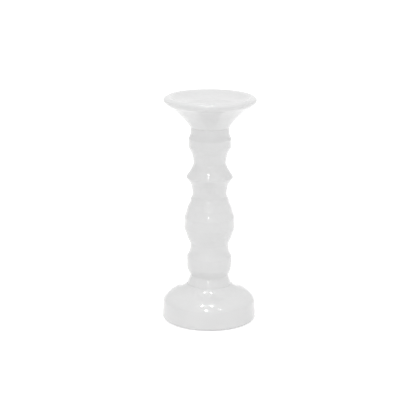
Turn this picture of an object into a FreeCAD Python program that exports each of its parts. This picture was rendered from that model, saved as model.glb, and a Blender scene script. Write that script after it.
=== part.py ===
"""A turned candlestick in three pieces of wood: a dished cup, a stem of beads and coves, and a domed base.

The stem has a round spigot at each end that sits in a socket in its neighbour. One tie rod runs up the
middle: it screws into a brass insert under the dish, and a washer and nut in the base's underside draw
everything together. A felt pad closes the underside and is what the candlestick stands on.

Millimetres, +Z up, origin on the axis at the felt's underside.
"""

import FreeCAD
import Part

import math
import os

from FreeCAD import Vector

# Overall heights and radii of the three turnings
BASE_HEIGHT = 40.0
STEM_HEIGHT = 179.5
CUP_HEIGHT = 34.5
BASE_RADIUS = 52.9
RIM_RADIUS = 51.5
FOOT_RADIUS = 24.7  # the stem's shoulder on the base
NECK_RADIUS = 21.3  # the stem's top, which the cup continues

# Base: an upright band with a rounded lower edge, then a dome that sweeps up to the stem
BASE_EDGE_ROUND = 2.5
BAND_TOP_HEIGHT = 21.3
BAND_TAPER = 1.2
BASE_LEDGE = 0.5  # how far the base's top stands out past the stem's foot
DOME_RISE_SHARE = 0.59  # of the height above the band, where the dome turns into the sweep
DOME_REACH_SHARE = 0.563  # of the way in from the band to the ledge, at the same place
DOME_SWELL = 1.75
SWEEP_SWELL = -0.9

# Cup: a flare that opens out to its rim, a lip with a crisp outer edge, then a shallow dish with a flat seat
RIM_DROP = 4.3  # from the lip's crest down to the rim's widest point
FLARE_SWELL = -0.8
FLARE_FEATURES = (  # shares of the flare's height and of its reach out to the rim, and the swell above
    (0.545, 0.485, -0.3),
    (0.809, 0.807, 0.7),
)
LIP_EDGE_DROP = 2.0  # from the lip's crest down to its crisp outer edge
LIP_EDGE_INSET = 1.1  # from the rim's widest point in to the same edge
LIP_SIDE_SWELL = 0.15
LIP_WIDTH = 5.0  # from the rim's widest point in to the lip's crest
LIP_SWELL = 0.25
CREST_ROUND = 8.0  # of the lip's inner side, which runs down into the dish
DISH_DEPTH = 8.0
SEAT_RADIUS = 24.0

# The stem's turned features from its foot up, for a stem 179.5 tall: the height and radius where each
# one ends, and the swell of the stretch above that point (outward is positive, 0 is straight).
STEM_DESIGN_HEIGHT = 179.5
STEM_FEATURES = (
    (9.5, 21.5, 0.0),  # neck above the foot
    (11.0, 21.6, 0.2),
    (19.0, 25.0, 0.1),  # lower drum
    (32.5, 25.2, -1.0),
    (44.0, 21.6, 0.0),  # waist below the belly
    (47.0, 21.4, -0.1),
    (55.0, 25.0, 0.0),  # two small rings on the belly's lower slope
    (60.0, 26.4, 0.4),
    (66.8, 28.6, -0.45),  # the belly's hollow band, between two crisp corners
    (78.0, 28.1, -0.35),
    (88.2, 24.95, 0.0),  # rings down the belly's upper slope
    (94.5, 22.0, 0.15),
    (100.2, 20.5, -0.1),
    (102.2, 19.3, -0.05),  # neck below the ridge
    (107.0, 19.2, 0.05),
    (115.2, 20.6, 0.0),
    (123.6, 26.3, 0.0),  # sharp ridge
    (132.5, 20.5, -0.25),
    (139.4, 17.9, -0.3),  # thinnest point
    (151.0, 20.1, 0.15),
    (158.0, 23.7, -0.35),  # upper drum, hollow in the middle
    (166.8, 23.9, -0.3),
    (172.5, 21.65, -0.05),
)
FOOT_SWELL = 0.2

# Spigots and sockets
LOWER_SPIGOT_RADIUS = 11.0
LOWER_SPIGOT_LENGTH = 14.0
UPPER_SPIGOT_RADIUS = 10.0
UPPER_SPIGOT_LENGTH = 9.0
SPIGOT_CHAMFER = 1.0
SOCKET_CLEARANCE = 0.15  # on the radius
GLUE_SPACE = 0.5  # past a spigot's end

# Tie rod and its hardware
ROD_RADIUS = 3.0
ROD_CHAMFER = 0.6
ROD_HOLE_CLEARANCE = 0.3  # on the radius, through wood and washer
THREAD_CLEARANCE = 0.1  # on the radius, in the nut and the insert
ROD_TAIL = 1.5  # below the nut
TAIL_SPACE = 3.9  # from the rod's lower end to the felt
ROD_TOP_SPACE = 2.0  # from the rod's upper end to the blind end of its hole
INSERT_RADIUS = 5.0
INSERT_LENGTH = 11.0
INSERT_RIDGE_PITCH = 2.2
INSERT_RIDGE_DEPTH = 0.7
INSERT_CLEARANCE = 0.1
WASHER_RADIUS = 9.0
WASHER_THICKNESS = 1.6
NUT_ACROSS_FLATS = 10.0
NUT_HEIGHT = 5.0
NUT_CHAMFER_DEG = 30.0
COUNTERBORE_CLEARANCE = 1.5  # round the washer, room for a socket spanner

# Felt pad in its recess
FELT_MARGIN = 9.6  # from the base's widest point in to the recess
FELT_THICKNESS = 2.0
FELT_PROUD = 0.5  # how far the felt stands below the wood
FELT_CLEARANCE = 0.3

# Places that follow from the sizes above
STEM_BOTTOM = BASE_HEIGHT
STEM_TOP = STEM_BOTTOM + STEM_HEIGHT
TOTAL_HEIGHT = STEM_TOP + CUP_HEIGHT
SEAT_HEIGHT = TOTAL_HEIGHT - DISH_DEPTH
UPPER_SOCKET_END = STEM_TOP + UPPER_SPIGOT_LENGTH + GLUE_SPACE
INSERT_TOP = UPPER_SOCKET_END + INSERT_LENGTH
ROD_HOLE_TOP = INSERT_TOP + THREAD_CLEARANCE
ROD_TOP = ROD_HOLE_TOP - ROD_TOP_SPACE
ROD_BOTTOM = FELT_THICKNESS + TAIL_SPACE
NUT_BOTTOM = ROD_BOTTOM + ROD_TAIL
WASHER_BOTTOM = NUT_BOTTOM + NUT_HEIGHT
COUNTERBORE_TOP = WASHER_BOTTOM + WASHER_THICKNESS
ROD_HOLE_RADIUS = ROD_RADIUS + ROD_HOLE_CLEARANCE
RECESS_RADIUS = BASE_RADIUS - FELT_MARGIN
FELT_RADIUS = RECESS_RADIUS - FELT_CLEARANCE

PARTS_FOLDER = "parts"
OVERRUN = 1.0  # how far a cutting tool runs past the face that it opens


def cylinder(radius, bottom, top):
    """A solid cylinder on the axis."""
    return Part.makeCylinder(radius, top - bottom, Vector(0, 0, bottom))


def stretch(start, end, swell):
    """One stretch of an outline: a line, or an arc that swells to the right of its direction."""
    if swell == 0:
        return Part.LineSegment(start, end).toShape()
    along = end - start
    outward = Vector(along.z, 0, -along.x).normalize()
    middle = (start + end) * 0.5 + outward * swell
    return Part.Arc(start, middle, end).toShape()


def outline(stations):
    """The edges through stations of (height, radius, swell of the stretch above)."""
    edges = []
    for (height, radius, swell), (next_height, next_radius, _) in zip(stations, stations[1:]):
        edges.append(stretch(Vector(radius, 0, height), Vector(next_radius, 0, next_height), swell))
    return edges


def turned(edges):
    """The solid that an outline sweeps round the axis; its two open ends are closed straight to the axis."""
    first = edges[0].Vertexes[0].Point
    last = edges[-1].Vertexes[-1].Point
    bottom = Vector(0, 0, first.z)
    top = Vector(0, 0, last.z)
    closing = [
        Part.LineSegment(last, top).toShape(),
        Part.LineSegment(top, bottom).toShape(),
        Part.LineSegment(bottom, first).toShape(),
    ]
    face = Part.Face(Part.Wire(edges + closing))
    solid = face.revolve(Vector(0, 0, 0), Vector(0, 0, 1), 360)
    return solid


def dish_edges():
    """The lip's inner side and the dish's wall: two arcs in one curve, level at the crest and at the seat."""
    crest = Vector(RIM_RADIUS - LIP_WIDTH, 0, TOTAL_HEIGHT)
    crest_centre = crest - Vector(0, 0, CREST_ROUND)
    across = crest_centre.x - SEAT_RADIUS
    rise = crest_centre.z - SEAT_HEIGHT
    wall_round = (across**2 + rise**2 - CREST_ROUND**2) / (2 * DISH_DEPTH)
    wall_centre = Vector(SEAT_RADIUS, 0, SEAT_HEIGHT + wall_round)
    to_crest = (crest_centre - wall_centre).normalize()
    meeting = wall_centre + to_crest * wall_round
    crest_middle = crest_centre + (Vector(0, 0, 1) - to_crest).normalize() * CREST_ROUND
    wall_middle = wall_centre + (to_crest - Vector(0, 0, 1)).normalize() * wall_round
    seat_edge = Vector(SEAT_RADIUS, 0, SEAT_HEIGHT)
    return [
        Part.Arc(crest, crest_middle, meeting).toShape(),
        Part.Arc(meeting, wall_middle, seat_edge).toShape(),
    ]


def make_cup():
    """The flared cup, with the dish above and the spigot's socket and the insert's pocket below."""
    flare_height = CUP_HEIGHT - RIM_DROP
    flare_reach = RIM_RADIUS - NECK_RADIUS
    stations = [(STEM_TOP, NECK_RADIUS, FLARE_SWELL)]
    for height_share, reach_share, swell in FLARE_FEATURES:
        height = STEM_TOP + height_share * flare_height
        stations.append((height, NECK_RADIUS + reach_share * flare_reach, swell))
    stations.append((TOTAL_HEIGHT - RIM_DROP, RIM_RADIUS, LIP_SIDE_SWELL))
    stations.append((TOTAL_HEIGHT - LIP_EDGE_DROP, RIM_RADIUS - LIP_EDGE_INSET, LIP_SWELL))
    stations.append((TOTAL_HEIGHT, RIM_RADIUS - LIP_WIDTH, 0))
    cup = turned(outline(stations) + dish_edges())

    socket = cylinder(UPPER_SPIGOT_RADIUS + SOCKET_CLEARANCE, STEM_TOP - OVERRUN, UPPER_SOCKET_END)
    pocket = cylinder(INSERT_RADIUS + INSERT_CLEARANCE, UPPER_SOCKET_END - OVERRUN, ROD_HOLE_TOP)
    return cup.cut([socket, pocket])


def spigot(radius, length, root, direction):
    """A round spigot with a chamfered end; direction is +1 up or -1 down."""
    reach = 1.0 * direction
    shaft = Part.makeCylinder(
        radius, length - SPIGOT_CHAMFER + OVERRUN, root - Vector(0, 0, reach * OVERRUN), Vector(0, 0, reach)
    )
    end = root + Vector(0, 0, reach * (length - SPIGOT_CHAMFER))
    tip = Part.makeCone(radius, radius - SPIGOT_CHAMFER, SPIGOT_CHAMFER, end, Vector(0, 0, reach))
    return shaft.fuse(tip)


def make_stem():
    """The turned stem: its outline fitted to the stem's height, a spigot at each end, and the rod's bore."""
    stretch_factor = STEM_HEIGHT / STEM_DESIGN_HEIGHT
    stations = [(STEM_BOTTOM, FOOT_RADIUS, FOOT_SWELL)]
    for height, radius, swell in STEM_FEATURES:
        stations.append((STEM_BOTTOM + height * stretch_factor, radius, swell))
    stations.append((STEM_TOP, NECK_RADIUS, 0))
    stem = turned(outline(stations))

    lower = spigot(LOWER_SPIGOT_RADIUS, LOWER_SPIGOT_LENGTH, Vector(0, 0, STEM_BOTTOM), -1)
    upper = spigot(UPPER_SPIGOT_RADIUS, UPPER_SPIGOT_LENGTH, Vector(0, 0, STEM_TOP), 1)
    bore = cylinder(
        ROD_HOLE_RADIUS,
        STEM_BOTTOM - LOWER_SPIGOT_LENGTH - OVERRUN,
        STEM_TOP + UPPER_SPIGOT_LENGTH + OVERRUN,
    )
    return stem.fuse([lower, upper]).cut(bore).removeSplitter()


def make_base():
    """The domed base: the stem's socket on top; the nut's counterbore and the felt's recess below."""
    edge_centre = Vector(BASE_RADIUS - BASE_EDGE_ROUND, 0, FELT_PROUD + BASE_EDGE_ROUND)
    edge_start = edge_centre - Vector(0, 0, BASE_EDGE_ROUND)
    edge_end = edge_centre + Vector(BASE_EDGE_ROUND, 0, 0)
    edge_middle = edge_centre + Vector(1, 0, -1).normalize() * BASE_EDGE_ROUND
    band_top_radius = BASE_RADIUS - BAND_TAPER
    ledge_radius = FOOT_RADIUS + BASE_LEDGE
    dome_height = BAND_TOP_HEIGHT + DOME_RISE_SHARE * (BASE_HEIGHT - BAND_TOP_HEIGHT)
    dome_radius = band_top_radius - DOME_REACH_SHARE * (band_top_radius - ledge_radius)
    edges = [Part.Arc(edge_start, edge_middle, edge_end).toShape()]
    edges += outline(
        [
            (edge_end.z, BASE_RADIUS, 0),
            (BAND_TOP_HEIGHT, band_top_radius, DOME_SWELL),
            (dome_height, dome_radius, SWEEP_SWELL),
            (BASE_HEIGHT, ledge_radius, 0),
        ]
    )
    base = turned(edges)

    socket_floor = BASE_HEIGHT - LOWER_SPIGOT_LENGTH - GLUE_SPACE
    return base.cut(
        [
            cylinder(LOWER_SPIGOT_RADIUS + SOCKET_CLEARANCE, socket_floor, BASE_HEIGHT + OVERRUN),
            cylinder(ROD_HOLE_RADIUS, COUNTERBORE_TOP - OVERRUN, socket_floor + OVERRUN),
            cylinder(WASHER_RADIUS + COUNTERBORE_CLEARANCE, FELT_THICKNESS - OVERRUN, COUNTERBORE_TOP),
            cylinder(RECESS_RADIUS, FELT_PROUD - OVERRUN, FELT_THICKNESS),
        ]
    )


def make_tie_rod():
    """The threaded rod, as a cylinder of its outer diameter with chamfered ends."""
    return turned(
        outline(
            [
                (ROD_BOTTOM, ROD_RADIUS - ROD_CHAMFER, 0),
                (ROD_BOTTOM + ROD_CHAMFER, ROD_RADIUS, 0),
                (ROD_TOP - ROD_CHAMFER, ROD_RADIUS, 0),
                (ROD_TOP, ROD_RADIUS - ROD_CHAMFER, 0),
            ]
        )
    )


def make_threaded_insert():
    """The insert: a tube with coarse ridges outside that bite into the wood."""
    ridges = round(INSERT_LENGTH / INSERT_RIDGE_PITCH)
    pitch = INSERT_LENGTH / ridges
    valley = INSERT_RADIUS - INSERT_RIDGE_DEPTH
    stations = []
    for ridge in range(ridges):
        bottom = UPPER_SOCKET_END + ridge * pitch
        stations.append((bottom, valley, 0))
        stations.append((bottom + pitch / 2, INSERT_RADIUS, 0))
    stations.append((INSERT_TOP, valley, 0))
    thread = cylinder(ROD_RADIUS + THREAD_CLEARANCE, UPPER_SOCKET_END - OVERRUN, INSERT_TOP + OVERRUN)
    return turned(outline(stations)).cut(thread)


def make_washer():
    """The flat washer under the base's bore."""
    disc = cylinder(WASHER_RADIUS, WASHER_BOTTOM, COUNTERBORE_TOP)
    return disc.cut(cylinder(ROD_HOLE_RADIUS, WASHER_BOTTOM - OVERRUN, COUNTERBORE_TOP + OVERRUN))


def make_hex_nut():
    """The nut: a hexagonal prism with its corners chamfered top and bottom."""
    corner_radius = NUT_ACROSS_FLATS / 2 / math.cos(math.radians(30))
    corners = []
    for index in range(7):
        angle = math.radians(60 * index)
        corners.append(Vector(corner_radius * math.cos(angle), corner_radius * math.sin(angle), NUT_BOTTOM))
    prism = Part.Face(Part.makePolygon(corners)).extrude(Vector(0, 0, NUT_HEIGHT))

    chamfer_rise = (corner_radius - NUT_ACROSS_FLATS / 2) * math.tan(math.radians(NUT_CHAMFER_DEG))
    rounded = turned(
        outline(
            [
                (NUT_BOTTOM, NUT_ACROSS_FLATS / 2, 0),
                (NUT_BOTTOM + chamfer_rise, corner_radius, 0),
                (NUT_BOTTOM + NUT_HEIGHT - chamfer_rise, corner_radius, 0),
                (NUT_BOTTOM + NUT_HEIGHT, NUT_ACROSS_FLATS / 2, 0),
            ]
        )
    )
    thread = cylinder(ROD_RADIUS + THREAD_CLEARANCE, NUT_BOTTOM - OVERRUN, WASHER_BOTTOM + OVERRUN)
    return prism.common(rounded).cut(thread)


def make_felt_pad():
    """The felt disc that the candlestick stands on."""
    return cylinder(FELT_RADIUS, 0, FELT_THICKNESS)


NODES = {
    "cup": make_cup,
    "stem": make_stem,
    "base": make_base,
    "tie_rod": make_tie_rod,
    "threaded_insert": make_threaded_insert,
    "washer": make_washer,
    "hex_nut": make_hex_nut,
    "felt_pad": make_felt_pad,
}


def main():
    """Writes one STEP file for each piece."""
    os.makedirs(PARTS_FOLDER, exist_ok=True)
    for name, make in NODES.items():
        shape = make()
        solids = shape.Solids
        if len(solids) != 1 or not solids[0].isValid():
            raise ValueError(f"{name} is not one valid solid")
        solids[0].exportStep(os.path.join(PARTS_FOLDER, name + ".step"))
        print(f"{name}: {solids[0].Volume:.1f} mm3")


main()
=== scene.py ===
"""The looks of a turned candlestick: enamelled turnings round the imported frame, in a plain pale studio.

Every visible turning is rebuilt from the outline that its CAD node has in the plane through the axis:
the curves are drawn smooth, the corners are softened as thick enamel softens them, faint turning rings
are laid on, and the result is swept round the axis. Metres throughout.
"""

import math

import bmesh
import bpy
import numpy as np
from mathutils import Matrix, Vector, noise


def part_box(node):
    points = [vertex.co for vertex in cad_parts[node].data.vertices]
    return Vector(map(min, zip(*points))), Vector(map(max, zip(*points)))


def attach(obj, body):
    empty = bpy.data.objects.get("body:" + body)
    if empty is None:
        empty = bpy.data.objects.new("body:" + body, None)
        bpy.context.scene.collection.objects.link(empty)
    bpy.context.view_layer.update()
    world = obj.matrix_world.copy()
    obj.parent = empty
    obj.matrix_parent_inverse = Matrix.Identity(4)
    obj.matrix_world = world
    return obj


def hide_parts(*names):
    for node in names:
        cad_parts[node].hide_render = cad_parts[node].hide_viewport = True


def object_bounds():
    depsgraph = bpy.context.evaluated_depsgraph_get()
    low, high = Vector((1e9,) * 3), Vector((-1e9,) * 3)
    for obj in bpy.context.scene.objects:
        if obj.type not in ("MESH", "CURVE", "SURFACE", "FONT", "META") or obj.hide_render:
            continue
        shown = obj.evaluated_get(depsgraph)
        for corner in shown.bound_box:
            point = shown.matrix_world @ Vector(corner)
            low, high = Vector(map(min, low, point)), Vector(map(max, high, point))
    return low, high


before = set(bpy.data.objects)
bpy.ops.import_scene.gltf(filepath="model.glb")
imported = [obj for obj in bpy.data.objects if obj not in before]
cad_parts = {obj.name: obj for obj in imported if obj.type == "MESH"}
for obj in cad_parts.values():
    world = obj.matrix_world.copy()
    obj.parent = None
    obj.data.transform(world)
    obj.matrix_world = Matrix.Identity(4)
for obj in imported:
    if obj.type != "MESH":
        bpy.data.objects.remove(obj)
cad_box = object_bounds()

MM = 0.001
TINY = 1e-6  # metres; nearer than this counts as the same place
SEED = 7

# How the turnings are drawn
SEGMENTS = 176  # round the axis
SAMPLE_STEP = 0.25 * MM  # along an outline, while it is softened
CORNER_DEG = 15.0  # a sharper turn than this is a corner, and not part of a curve
ENAMEL_SOFTNESS = 0.6 * MM  # how far the enamel blurs a corner, as a standard deviation
OUTLINE_TOLERANCE = 0.006 * MM  # how far the final outline may stray from the softened one
LONGEST_STEP = 2.0 * MM

# Hand turning
RING_DEPTH = 0.09 * MM
RING_PITCHES = (2.3 * MM, 5.1 * MM, 11.0 * MM)
OUT_OF_ROUND = 0.10 * MM
FULL_WOBBLE_RADIUS = 20 * MM
SAFE_GAP = 0.02 * MM  # that the widest place keeps from the CAD width

# The tie rod's thread
THREAD_PITCH = 1.0 * MM
THREAD_DEPTH = 0.55 * MM
THREAD_SEGMENTS = 20
THREAD_MERGE = 0.0055 * MM  # at the rod's ends, where the helix runs out into the flat faces

# Where the enamel ends
JOINERY_RADIUS = 13 * MM  # inside this are the spigots, the sockets and the nut's counterbore
JOINERY_MARGIN = 1.0 * MM
PAINT_EDGE = 0.02 * MM
SHOULDER_RADIUS = 23.5 * MM  # of the base's top, what the stem's foot hides
BARE_RING = 5.5 * MM  # of the base's underside, round the felt

# Felt
FELT_SOFTNESS = 0.35 * MM
FELT_UNEVENNESS = 0.12 * MM
FELT_LUMP = 4 * MM
FELT_DARK = (0.03, 0.03, 0.032)
FELT_LIGHT = (0.11, 0.11, 0.115)

# Enamel: its two whites, and the depths of its bump
ENAMEL_WHITE = (0.80, 0.80, 0.80)
ENAMEL_SHADE = (0.77, 0.77, 0.77)
ENAMEL_COAT = 0.15
LATHE_LINE_DEPTH = 0.03 * MM
PEEL_DEPTH = 0.05 * MM

# Bare wood
HEART_SHIFT = (38 * MM, -21 * MM, 0)  # from the turning axis to the heart of the tree, roughly
EARLY_WOOD = (0.64, 0.46, 0.29)
LATE_WOOD = (0.53, 0.36, 0.21)

# Studio
FLOOR_SIZE = 16.0
FLOOR_WHITE = 0.93
FLOOR_GLOW = 0.45
WORLD_LIGHT = 0.68
LAMP_DISTANCE = 2.4
SOFT_LAMP_SIZE = 1.6
SPARK_LAMP_SIZE = 0.04

# Camera: its distance, height and lens give the perspective
CAMERA_DISTANCE = 1.450
CAMERA_HEIGHT = 0.508
CAMERA_AIM_HEIGHT = 0.1251
CAMERA_AIM_SIDE = 0.0005
CAMERA_ROLL_DEG = 0.30
SENSOR = 36.0
LENS = 114.9


# ---------------------------------------------------------------- outlines


def seam_points(node):
    """The node's vertices in the half plane of +X, as (radius, height), each with those it has an edge to."""
    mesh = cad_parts[node].data
    places = {}
    for vertex in mesh.vertices:
        if abs(vertex.co.y) < TINY and vertex.co.x > TINY:
            places[vertex.index] = (round(vertex.co.x, 6), round(vertex.co.z, 6))
    links = {place: set() for place in places.values()}
    for edge in mesh.edges:
        a, b = (places.get(index) for index in edge.vertices)
        if a and b and a != b:
            links[a].add(b)
            links[b].add(a)
    return links


def section(node):
    """The node's outline as an ordered list of (radius, height), and whether it closes on itself.

    A flat face has no edge in this plane, so two loose ends at one height are the two sides of such a
    face. A loose end with no partner is the edge of a disc, and the outline runs on to the axis.
    """
    links = seam_points(node)
    loose = sorted((place for place in links if len(links[place]) == 1), key=lambda p: (p[1], p[0]))
    by_height = {}
    for place in loose:
        by_height.setdefault(round(place[1], 5), []).append(place)
    ends = []
    for places in by_height.values():
        if len(places) == 2:
            links[places[0]].add(places[1])
            links[places[1]].add(places[0])
        else:
            ends.extend(places)
    start = ends[0] if ends else next(iter(links))
    order = [start]
    seen = {start}
    while True:
        onward = [place for place in links[order[-1]] if place not in seen]
        if not onward:
            break
        order.append(onward[0])
        seen.add(onward[0])
    if ends:
        order = [(0.0, order[0][1])] + order + [(0.0, order[-1][1])]
    return np.array(order), not ends


def turn_angle(before, here, after):
    """How far an outline turns at a point, in degrees."""
    first = here - before
    second = after - here
    cross = first[0] * second[1] - first[1] * second[0]
    return abs(math.degrees(math.atan2(cross, float(first @ second))))


def drawn_smooth(points, closed):
    """The outline sampled finely, with its curves as smooth cubics and its corners kept sharp."""
    count = len(points)
    spans = count if closed else count - 1

    def at(index):
        return points[index % count] if closed else points[min(max(index, 0), count - 1)]

    def tangent(index, span):
        before, here, after = at(index - 1), at(index), at(index + 1)
        if turn_angle(before, here, after) > CORNER_DEG or (before == here).all() or (after == here).all():
            return None
        back, ahead = np.linalg.norm(here - before), np.linalg.norm(after - here)
        slope = ((here - before) / back * ahead + (after - here) / ahead * back) / (back + ahead)
        return slope * span

    samples = []
    for index in range(spans):
        start, end = at(index), at(index + 1)
        span = np.linalg.norm(end - start)
        if span < 1e-9:
            continue
        straight = end - start
        leave = tangent(index, span)
        arrive = tangent(index + 1, span)
        leave = straight if leave is None else leave
        arrive = straight if arrive is None else arrive
        steps = max(2, int(math.ceil(span / SAMPLE_STEP)))
        for step in range(steps):
            t = step / steps
            samples.append(
                (2 * t**3 - 3 * t**2 + 1) * start
                + (t**3 - 2 * t**2 + t) * leave
                + (3 * t**2 - 2 * t**3) * end
                + (t**3 - t**2) * arrive
            )
    if not closed:
        samples.append(points[-1])
    return evenly_spaced(np.array(samples), closed)


def evenly_spaced(points, closed):
    """The same line with its points a sample step apart."""
    line = np.vstack([points, points[:1]]) if closed else points
    along = np.concatenate([[0], np.cumsum(np.linalg.norm(np.diff(line, axis=0), axis=1))])
    count = max(8, int(round(along[-1] / SAMPLE_STEP)))
    places = np.linspace(0, along[-1], count + 1)
    even = np.column_stack([np.interp(places, along, line[:, axis]) for axis in (0, 1)])
    return even[:-1] if closed else even


def softened(points, closed, softness):
    """The outline blurred along its length, as a thick coat rounds corners and fills hollows."""
    reach = int(math.ceil(3 * softness / SAMPLE_STEP))
    weights = np.exp(-0.5 * (np.arange(-reach, reach + 1) * SAMPLE_STEP / softness) ** 2)
    weights /= weights.sum()
    if closed:
        padded = np.vstack([points[-reach:], points, points[:reach]])
    else:
        # The outline carries on past the axis as its own mirror image.
        mirror = np.array([-1.0, 1.0])
        padded = np.vstack([points[reach:0:-1] * mirror, points, points[-2 : -reach - 2 : -1] * mirror])
    blurred = np.column_stack([np.convolve(padded[:, axis], weights, mode="valid") for axis in (0, 1)])
    if not closed:
        blurred[[0, -1], 0] = 0.0
    return blurred


def simplified(points):
    """The outline with only the points that its shape needs."""
    keep = np.zeros(len(points), bool)
    keep[[0, -1]] = True
    stack = [(0, len(points) - 1)]
    while stack:
        first, last = stack.pop()
        if last - first < 2:
            continue
        chord = points[last] - points[first]
        length = np.linalg.norm(chord)
        offsets = points[first + 1 : last] - points[first]
        if length < 1e-9:
            away = np.linalg.norm(offsets, axis=1)
        else:
            away = np.abs(offsets[:, 0] * chord[1] - offsets[:, 1] * chord[0]) / length
        worst = int(np.argmax(away))
        if away[worst] > OUTLINE_TOLERANCE or length > LONGEST_STEP:
            middle = first + 1 + worst if away[worst] > OUTLINE_TOLERANCE else (first + last) // 2
            keep[middle] = True
            stack.extend([(first, middle), (middle, last)])
    return points[keep]


def smooth_noise(values, pitch, seed):
    """Repeatable soft noise from -1 to 1 along a line."""
    places = values / pitch
    cells = np.floor(places).astype(int)
    low = cells.min() - 1
    random = np.random.default_rng(seed)
    heights = random.uniform(-1, 1, cells.max() - low + 3)
    part = places - cells
    blend = part * part * (3 - 2 * part)
    return heights[cells - low] * (1 - blend) + heights[cells - low + 1] * blend


def normals_of(points, closed):
    """The outline's unit normals, to the right of its direction."""
    if closed:
        along = np.roll(points, -1, axis=0) - np.roll(points, 1, axis=0)
    else:
        along = np.gradient(points, axis=0)
    normals = np.column_stack([along[:, 1], -along[:, 0]])
    return normals / np.maximum(np.linalg.norm(normals, axis=1, keepdims=True), 1e-12)


# ---------------------------------------------------------------- meshes


def piece_from(name, bm):
    """A finished, smooth-shaded object from a bmesh, with its faces all facing out."""
    bmesh.ops.recalc_face_normals(bm, faces=bm.faces)
    mesh = bpy.data.meshes.new(name)
    bm.to_mesh(mesh)
    bm.free()
    for polygon in mesh.polygons:
        polygon.use_smooth = True
    piece = bpy.data.objects.new(name, mesh)
    bpy.context.scene.collection.objects.link(piece)
    return piece


def swept(name, points, closed, wobble=0.0):
    """The solid that an outline sweeps round the axis, a hair out of round where wobble asks for it."""
    bm = bmesh.new()
    angles = np.arange(SEGMENTS) * 2 * math.pi / SEGMENTS
    oval = wobble * (0.6 * np.cos(2 * angles + 0.7) + 0.4 * np.cos(3 * angles + 2.1))
    widest = cad_box[1].x - SAFE_GAP
    rings = []
    for radius, height in points:
        if radius < 1e-7:
            rings.append([bm.verts.new((0, 0, height))])
            continue
        radii = np.minimum(radius + oval * min(1.0, radius / FULL_WOBBLE_RADIUS), widest)
        places = zip(radii * np.cos(angles), radii * np.sin(angles))
        rings.append([bm.verts.new((x, y, height)) for x, y in places])
    pairs = list(zip(rings, rings[1:]))
    if closed:
        pairs.append((rings[-1], rings[0]))
    for lower, upper in pairs:
        for index in range(SEGMENTS):
            after = (index + 1) % SEGMENTS
            if len(lower) == 1 and len(upper) == 1:
                continue
            if len(lower) == 1:
                bm.faces.new((lower[0], upper[index], upper[after]))
            elif len(upper) == 1:
                bm.faces.new((lower[index], lower[after], upper[0]))
            else:
                bm.faces.new((lower[index], lower[after], upper[after], upper[index]))
    return piece_from(name, bm)


def turned_piece(name, node, is_painted):
    """A turning rebuilt from its CAD outline. is_painted tells painted places from hidden joinery."""
    points, closed = section(node)
    sharp = drawn_smooth(points, closed)
    soft = softened(sharp, closed, ENAMEL_SOFTNESS)
    # Next to a joint the outline stays as it is in CAD, so that neighbours meet flush.
    from_joint = np.min([abs(sharp[:, 1] - joint) for joint in joint_heights()], axis=0)
    freedom = np.clip(from_joint / (2 * ENAMEL_SOFTNESS), 0, 1)
    fine = sharp + (soft - sharp) * freedom[:, None]
    rings = np.zeros(len(fine))
    for index, pitch in enumerate(RING_PITCHES):
        rings += smooth_noise(fine[:, 1], pitch, SEED + index) / len(RING_PITCHES)
    painted = np.array([is_painted(radius, height) for radius, height in fine])
    # The rings only ever cut in, so a turning stays within its CAD size.
    depth = RING_DEPTH * (1 - rings) / 2 * painted * freedom
    outward = normals_of(fine, closed)
    if outward[np.argmax(fine[:, 0]), 0] < 0:
        outward = -outward
    fine = fine - outward * depth[:, None]
    if not closed:
        fine[[0, -1], 0] = 0.0
    piece = swept(name, simplified(fine), closed, OUT_OF_ROUND)
    piece.data.materials.append(MATERIALS["enamel"])
    piece.data.materials.append(MATERIALS["bare_wood"])
    for polygon in piece.data.polygons:
        radius = math.hypot(polygon.center.x, polygon.center.y)
        polygon.material_index = 0 if is_painted(radius, polygon.center.z) else 1
    return piece


def joint_heights():
    """Where the stem's two shoulders meet the base and the cup."""
    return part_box("base")[1].z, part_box("cup")[0].z


def make_cup():
    """The dished cup. Its socket, its pocket and the face on the stem are bare wood."""
    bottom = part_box("cup")[0].z
    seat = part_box("threaded_insert")[1].z + JOINERY_MARGIN

    def is_painted(radius, height):
        return height > seat or (radius > JOINERY_RADIUS and height > bottom + PAINT_EDGE)

    return turned_piece("enamelled_cup", "cup", is_painted)


def make_stem():
    """The stem. Its spigots, its shoulders and its bore are bare wood."""
    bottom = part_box("base")[1].z
    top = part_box("cup")[0].z

    def is_painted(radius, height):
        return radius > JOINERY_RADIUS and bottom + PAINT_EDGE < height < top - PAINT_EDGE

    return turned_piece("enamelled_stem", "stem", is_painted)


def make_base():
    """The base. The ring that shows round the felt is bare wood, and so is all the joinery."""
    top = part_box("base")[1].z
    bare_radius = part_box("felt_pad")[1].x + BARE_RING
    recess_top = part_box("felt_pad")[1].z + PAINT_EDGE

    def is_painted(radius, height):
        underneath = radius < bare_radius and height < recess_top
        in_joinery = radius < JOINERY_RADIUS
        under_stem = radius < SHOULDER_RADIUS and height > top - PAINT_EDGE
        return not (underneath or in_joinery or under_stem)

    return turned_piece("enamelled_base", "base", is_painted)


def make_felt():
    """The felt pad, with a soft edge and an uneven face."""
    points, closed = section("felt_pad")
    fine = softened(drawn_smooth(points, closed), closed, FELT_SOFTNESS)
    piece = swept("felt_disc", simplified(fine), closed)
    for vertex in piece.data.vertices:
        rough = 0.5 + 0.5 * noise.noise(vertex.co / FELT_LUMP)
        vertex.co -= vertex.normal * FELT_UNEVENNESS * rough
    piece.data.materials.append(MATERIALS["felt"])
    return piece


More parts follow.
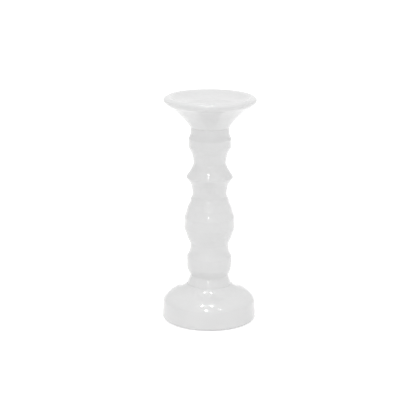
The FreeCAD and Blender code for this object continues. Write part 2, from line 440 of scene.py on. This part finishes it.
def make_tie_rod():
    """The tie rod with its thread cut from end to end as one helix."""
    low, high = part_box("tie_rod")
    crest_radius = high.x
    turns = (high.z - low.z) / THREAD_PITCH
    steps = int(math.ceil((turns + 1) * THREAD_SEGMENTS))
    bm = bmesh.new()
    roots = []
    crests = []
    for step in range(steps + 1):
        angle = 2 * math.pi * step / THREAD_SEGMENTS
        height = low.z + THREAD_PITCH * (step / THREAD_SEGMENTS - 1)
        root_height = min(max(height, low.z), high.z)
        crest_height = min(max(height + THREAD_PITCH / 2, low.z), high.z)
        from_end = min(crest_height - low.z, high.z - crest_height)
        depth = THREAD_DEPTH * max(0.0, 1 - from_end / THREAD_PITCH)
        across = Vector((math.cos(angle), math.sin(angle), 0))
        roots.append(bm.verts.new(across * (crest_radius - THREAD_DEPTH) + Vector((0, 0, root_height))))
        crests.append(bm.verts.new(across * (crest_radius - depth) + Vector((0, 0, crest_height))))
    for step in range(steps):
        bm.faces.new((roots[step], roots[step + 1], crests[step + 1], crests[step]))
    for step in range(steps - THREAD_SEGMENTS):
        above = step + THREAD_SEGMENTS
        bm.faces.new((crests[step], crests[step + 1], roots[above + 1], roots[above]))
    bmesh.ops.remove_doubles(bm, verts=bm.verts, dist=THREAD_MERGE)
    bmesh.ops.holes_fill(bm, edges=[edge for edge in bm.edges if edge.is_boundary], sides=0)
    piece = piece_from("threaded_rod", bm)
    for polygon in piece.data.polygons:
        polygon.use_smooth = False
    piece.data.materials.append(MATERIALS["zinc"])
    return piece


# ---------------------------------------------------------------- materials


def new_material(name, color, roughness, metallic=0.0):
    """A material with a Principled shader, and its node tree's two collections."""
    material = bpy.data.materials.new(name)
    material.use_nodes = True
    tree = material.node_tree
    shader = tree.nodes["Principled BSDF"]
    shader.inputs["Base Color"].default_value = (*color, 1)
    shader.inputs["Roughness"].default_value = roughness
    shader.inputs["Metallic"].default_value = metallic
    return material, tree, shader


def place_on(tree, stretch=(1, 1, 1), shift=(0, 0, 0)):
    """The object's own coordinates, stretched and shifted."""
    coordinates = tree.nodes.new("ShaderNodeTexCoord")
    mapping = tree.nodes.new("ShaderNodeMapping")
    mapping.inputs["Scale"].default_value = stretch
    mapping.inputs["Location"].default_value = shift
    tree.links.new(coordinates.outputs["Object"], mapping.inputs["Vector"])
    return mapping.outputs["Vector"]


def noise_on(tree, size, detail=3.0, stretch=(1, 1, 1), distortion=0.0):
    """A noise texture whose blotches are about size metres across."""
    texture = tree.nodes.new("ShaderNodeTexNoise")
    texture.inputs["Scale"].default_value = 1 / size
    texture.inputs["Detail"].default_value = detail
    texture.inputs["Distortion"].default_value = distortion
    tree.links.new(place_on(tree, stretch), texture.inputs["Vector"])
    return texture.outputs["Fac"]


def spread(tree, value, low, high, from_low=0.3, from_high=0.7):
    """A value moved from one range to another."""
    ranged = tree.nodes.new("ShaderNodeMapRange")
    ranged.inputs["From Min"].default_value = from_low
    ranged.inputs["From Max"].default_value = from_high
    ranged.inputs["To Min"].default_value = low
    ranged.inputs["To Max"].default_value = high
    tree.links.new(value, ranged.inputs["Value"])
    return ranged.outputs["Result"]


def blended(tree, value, first, second):
    """A colour between two, by a value from 0 to 1."""
    mix = tree.nodes.new("ShaderNodeMix")
    mix.data_type = "RGBA"
    mix.inputs[6].default_value = (*first, 1)
    mix.inputs[7].default_value = (*second, 1)
    tree.links.new(value, mix.inputs["Factor"])
    return mix.outputs[2]


def add_bump(tree, shader, layers):
    """Bump layers of (height value, depth in metres), one on the other."""
    normal = None
    for value, depth in layers:
        bump = tree.nodes.new("ShaderNodeBump")
        bump.inputs["Strength"].default_value = 1.0
        bump.inputs["Distance"].default_value = depth
        tree.links.new(value, bump.inputs["Height"])
        if normal is not None:
            tree.links.new(normal, bump.inputs["Normal"])
        normal = bump.outputs["Normal"]
    tree.links.new(normal, shader.inputs["Normal"])


def enamel_material():
    """Thick gloss white enamel: near-even colour, a faint orange peel, and brush and lathe lines under it."""
    material, tree, shader = new_material("gloss_white_enamel", ENAMEL_WHITE, 0.12)
    cloud = spread(tree, noise_on(tree, 30 * MM, 2.0), 0.0, 1.0)
    tree.links.new(blended(tree, cloud, ENAMEL_WHITE, ENAMEL_SHADE), shader.inputs["Base Color"])
    tree.links.new(spread(tree, noise_on(tree, 9 * MM), 0.09, 0.17), shader.inputs["Roughness"])
    peel = noise_on(tree, 3 * MM, 2.0)
    lathe_lines = noise_on(tree, 40 * MM, 4.0, stretch=(1, 1, 30))
    add_bump(tree, shader, [(lathe_lines, LATHE_LINE_DEPTH), (peel, PEEL_DEPTH)])
    shader.inputs["IOR"].default_value = 1.5
    shader.inputs["Coat Weight"].default_value = ENAMEL_COAT
    shader.inputs["Coat Roughness"].default_value = 0.05
    return material


def bare_wood_material():
    """Sanded end grain: growth rings round a heart that lies off the turning axis."""
    material, tree, shader = new_material("bare_wood", (0.62, 0.43, 0.26), 0.6)
    rings = tree.nodes.new("ShaderNodeTexWave")
    rings.wave_type = "RINGS"
    rings.rings_direction = "Z"
    rings.inputs["Scale"].default_value = 90
    rings.inputs["Distortion"].default_value = 6.0
    rings.inputs["Detail"].default_value = 3.0
    tree.links.new(place_on(tree, shift=HEART_SHIFT), rings.inputs["Vector"])
    grain = blended(tree, rings.outputs["Fac"], EARLY_WOOD, LATE_WOOD)
    tree.links.new(grain, shader.inputs["Base Color"])
    pores = noise_on(tree, 0.7 * MM, 2.0)
    tree.links.new(spread(tree, pores, 0.5, 0.75), shader.inputs["Roughness"])
    add_bump(tree, shader, [(rings.outputs["Fac"], 0.03 * MM), (pores, 0.05 * MM)])
    return material


def felt_material():
    """Pressed black felt: matted fibres with a soft sheen."""
    material, tree, shader = new_material("black_felt", (0.05, 0.05, 0.05), 0.95)
    fibres = noise_on(tree, 0.5 * MM, 6.0, distortion=1.5)
    patches = noise_on(tree, 12 * MM, 2.0)
    color = blended(tree, fibres, FELT_DARK, FELT_LIGHT)
    tree.links.new(color, shader.inputs["Base Color"])
    tree.links.new(spread(tree, patches, 0.88, 1.0), shader.inputs["Roughness"])
    add_bump(tree, shader, [(patches, 0.2 * MM), (fibres, 0.15 * MM)])
    shader.inputs["Sheen Weight"].default_value = 0.5
    shader.inputs["Sheen Roughness"].default_value = 0.5
    return material


def metal_material(name, color, dull, roughness, scratch_stretch):
    """A plated or turned metal, with drawn marks and a little uneven tarnish."""
    material, tree, shader = new_material(name, color, roughness, metallic=1.0)
    tarnish = spread(tree, noise_on(tree, 3 * MM), 0.0, 1.0)
    tree.links.new(blended(tree, tarnish, color, dull), shader.inputs["Base Color"])
    marks = noise_on(tree, 1.5 * MM, 4.0, stretch=scratch_stretch)
    tree.links.new(spread(tree, marks, roughness - 0.08, roughness + 0.12), shader.inputs["Roughness"])
    add_bump(tree, shader, [(marks, 0.01 * MM)])
    return material


# ---------------------------------------------------------------- studio


def make_floor():
    """A plain white floor that keeps the object's shadow and otherwise meets the white background."""
    mesh = bpy.data.meshes.new("floor")
    half = FLOOR_SIZE / 2
    corners = [(-half, -half, 0), (half, -half, 0), (half, half, 0), (-half, half, 0)]
    mesh.from_pydata(corners, [], [(0, 1, 2, 3)])
    floor = bpy.data.objects.new("floor", mesh)
    bpy.context.scene.collection.objects.link(floor)
    material, tree, shader = new_material("white_floor", (FLOOR_WHITE,) * 3, 0.9)
    shader.inputs["Specular IOR Level"].default_value = 0.0
    glow = seen_directly(tree)
    scaled = tree.nodes.new("ShaderNodeMath")
    scaled.operation = "MULTIPLY"
    scaled.inputs[1].default_value = FLOOR_GLOW
    tree.links.new(glow, scaled.inputs[0])
    shader.inputs["Emission Color"].default_value = (1, 1, 1, 1)
    tree.links.new(scaled.outputs[0], shader.inputs["Emission Strength"])
    mesh.materials.append(material)


def seen_directly(tree):
    """1 for what the camera sees itself, in a gloss or through glass, and 0 for what lights the object."""
    path = tree.nodes.new("ShaderNodeLightPath")
    total = None
    for ray in ("Is Camera Ray", "Is Glossy Ray", "Is Transmission Ray"):
        if total is None:
            total = path.outputs[ray]
            continue
        either = tree.nodes.new("ShaderNodeMath")
        either.operation = "MAXIMUM"
        tree.links.new(total, either.inputs[0])
        tree.links.new(path.outputs[ray], either.inputs[1])
        total = either.outputs[0]
    return total


def make_world():
    """A white background, and an even light of its own strength on the object."""
    world = bpy.data.worlds.new("studio")
    bpy.context.scene.world = world
    world.use_nodes = True
    tree = world.node_tree
    background = tree.nodes["Background"]
    background.inputs["Color"].default_value = (1, 1, 1, 1)
    strength = tree.nodes.new("ShaderNodeMapRange")
    strength.inputs["To Min"].default_value = WORLD_LIGHT
    strength.inputs["To Max"].default_value = 1.0
    tree.links.new(seen_directly(tree), strength.inputs["Value"])
    tree.links.new(strength.outputs["Result"], background.inputs["Strength"])


def aim(thing, target):
    """Turns a lamp or a camera to face a point."""
    direction = Vector(target) - thing.location
    thing.rotation_euler = direction.to_track_quat("-Z", "Y").to_euler()


def add_lamp(name, azimuth_deg, elevation_deg, distance, size, power):
    """A square lamp, placed by its direction from the candlestick: azimuth 0 is the camera's side."""
    data = bpy.data.lights.new(name, "AREA")
    data.size = size
    data.energy = power
    lamp = bpy.data.objects.new(name, data)
    bpy.context.scene.collection.objects.link(lamp)
    azimuth = math.radians(azimuth_deg)
    elevation = math.radians(elevation_deg)
    reach = math.cos(elevation)
    middle = Vector((0, 0, cad_box[1][2] / 2))
    outward = Vector((math.sin(azimuth) * reach, -math.cos(azimuth) * reach, math.sin(elevation)))
    lamp.location = middle + distance * outward
    aim(lamp, middle)
    return lamp


def add_soft_lamp(name, azimuth_deg, elevation_deg, power):
    """A large lamp that lights the enamel evenly and isn't seen in its gloss."""
    lamp = add_lamp(name, azimuth_deg, elevation_deg, LAMP_DISTANCE, SOFT_LAMP_SIZE, power)
    lamp.visible_glossy = False


def add_spark_lamp(name, azimuth_deg, elevation_deg, power):
    """A small bright lamp that shows only as a spark in the gloss."""
    lamp = add_lamp(name, azimuth_deg, elevation_deg, LAMP_DISTANCE, SPARK_LAMP_SIZE, power)
    lamp.visible_diffuse = False


def make_camera():
    """The camera, a little above the candlestick and turned by a slight roll."""
    data = bpy.data.cameras.new("camera")
    data.lens = LENS
    data.sensor_width = SENSOR
    camera = bpy.data.objects.new("camera", data)
    bpy.context.scene.collection.objects.link(camera)
    camera.location = (0, -CAMERA_DISTANCE, CAMERA_HEIGHT)
    aim(camera, (CAMERA_AIM_SIDE, 0, CAMERA_AIM_HEIGHT))
    camera.rotation_euler = (
        camera.rotation_euler.to_matrix() @ Matrix.Rotation(math.radians(CAMERA_ROLL_DEG), 3, "Z")
    ).to_euler()
    bpy.context.scene.camera = camera


# ---------------------------------------------------------------- the scene


MATERIALS = {
    "enamel": enamel_material(),
    "bare_wood": bare_wood_material(),
    "felt": felt_material(),
    "zinc": metal_material("zinc_plate", (0.62, 0.63, 0.66), (0.45, 0.46, 0.48), 0.28, (1, 1, 8)),
    "brass": metal_material("turned_brass", (0.80, 0.60, 0.28), (0.56, 0.38, 0.16), 0.26, (1, 1, 12)),
}

for node, piece, slot in (
    ("cup", make_cup(), "white_enamel"),
    ("stem", make_stem(), "white_enamel"),
    ("base", make_base(), "white_enamel"),
    ("felt_pad", make_felt(), "felt"),
    ("tie_rod", make_tie_rod(), "zinc_steel"),
):
    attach(piece, "root")
    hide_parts(node)

for node, finish in (("washer", "zinc"), ("hex_nut", "zinc"), ("threaded_insert", "brass")):
    for material_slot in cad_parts[node].material_slots:
        material_slot.material = MATERIALS[finish]

make_floor()
make_world()
add_soft_lamp("right", 65, 50, 7)
add_soft_lamp("left", -65, 50, 7)
add_soft_lamp("front", 0, 10, 5)
add_soft_lamp("above", 0, 89, 8)
add_spark_lamp("spark_front", -6, 20, 2)
add_spark_lamp("spark_left", -10, 56, 5)
add_spark_lamp("spark_right", 42, 58, 3)
add_spark_lamp("spark_high_left", -60, 78, 9)
add_spark_lamp("spark_high_right", 30, 82, 9)
make_camera()

bpy.context.scene.view_settings.view_transform = "Standard"
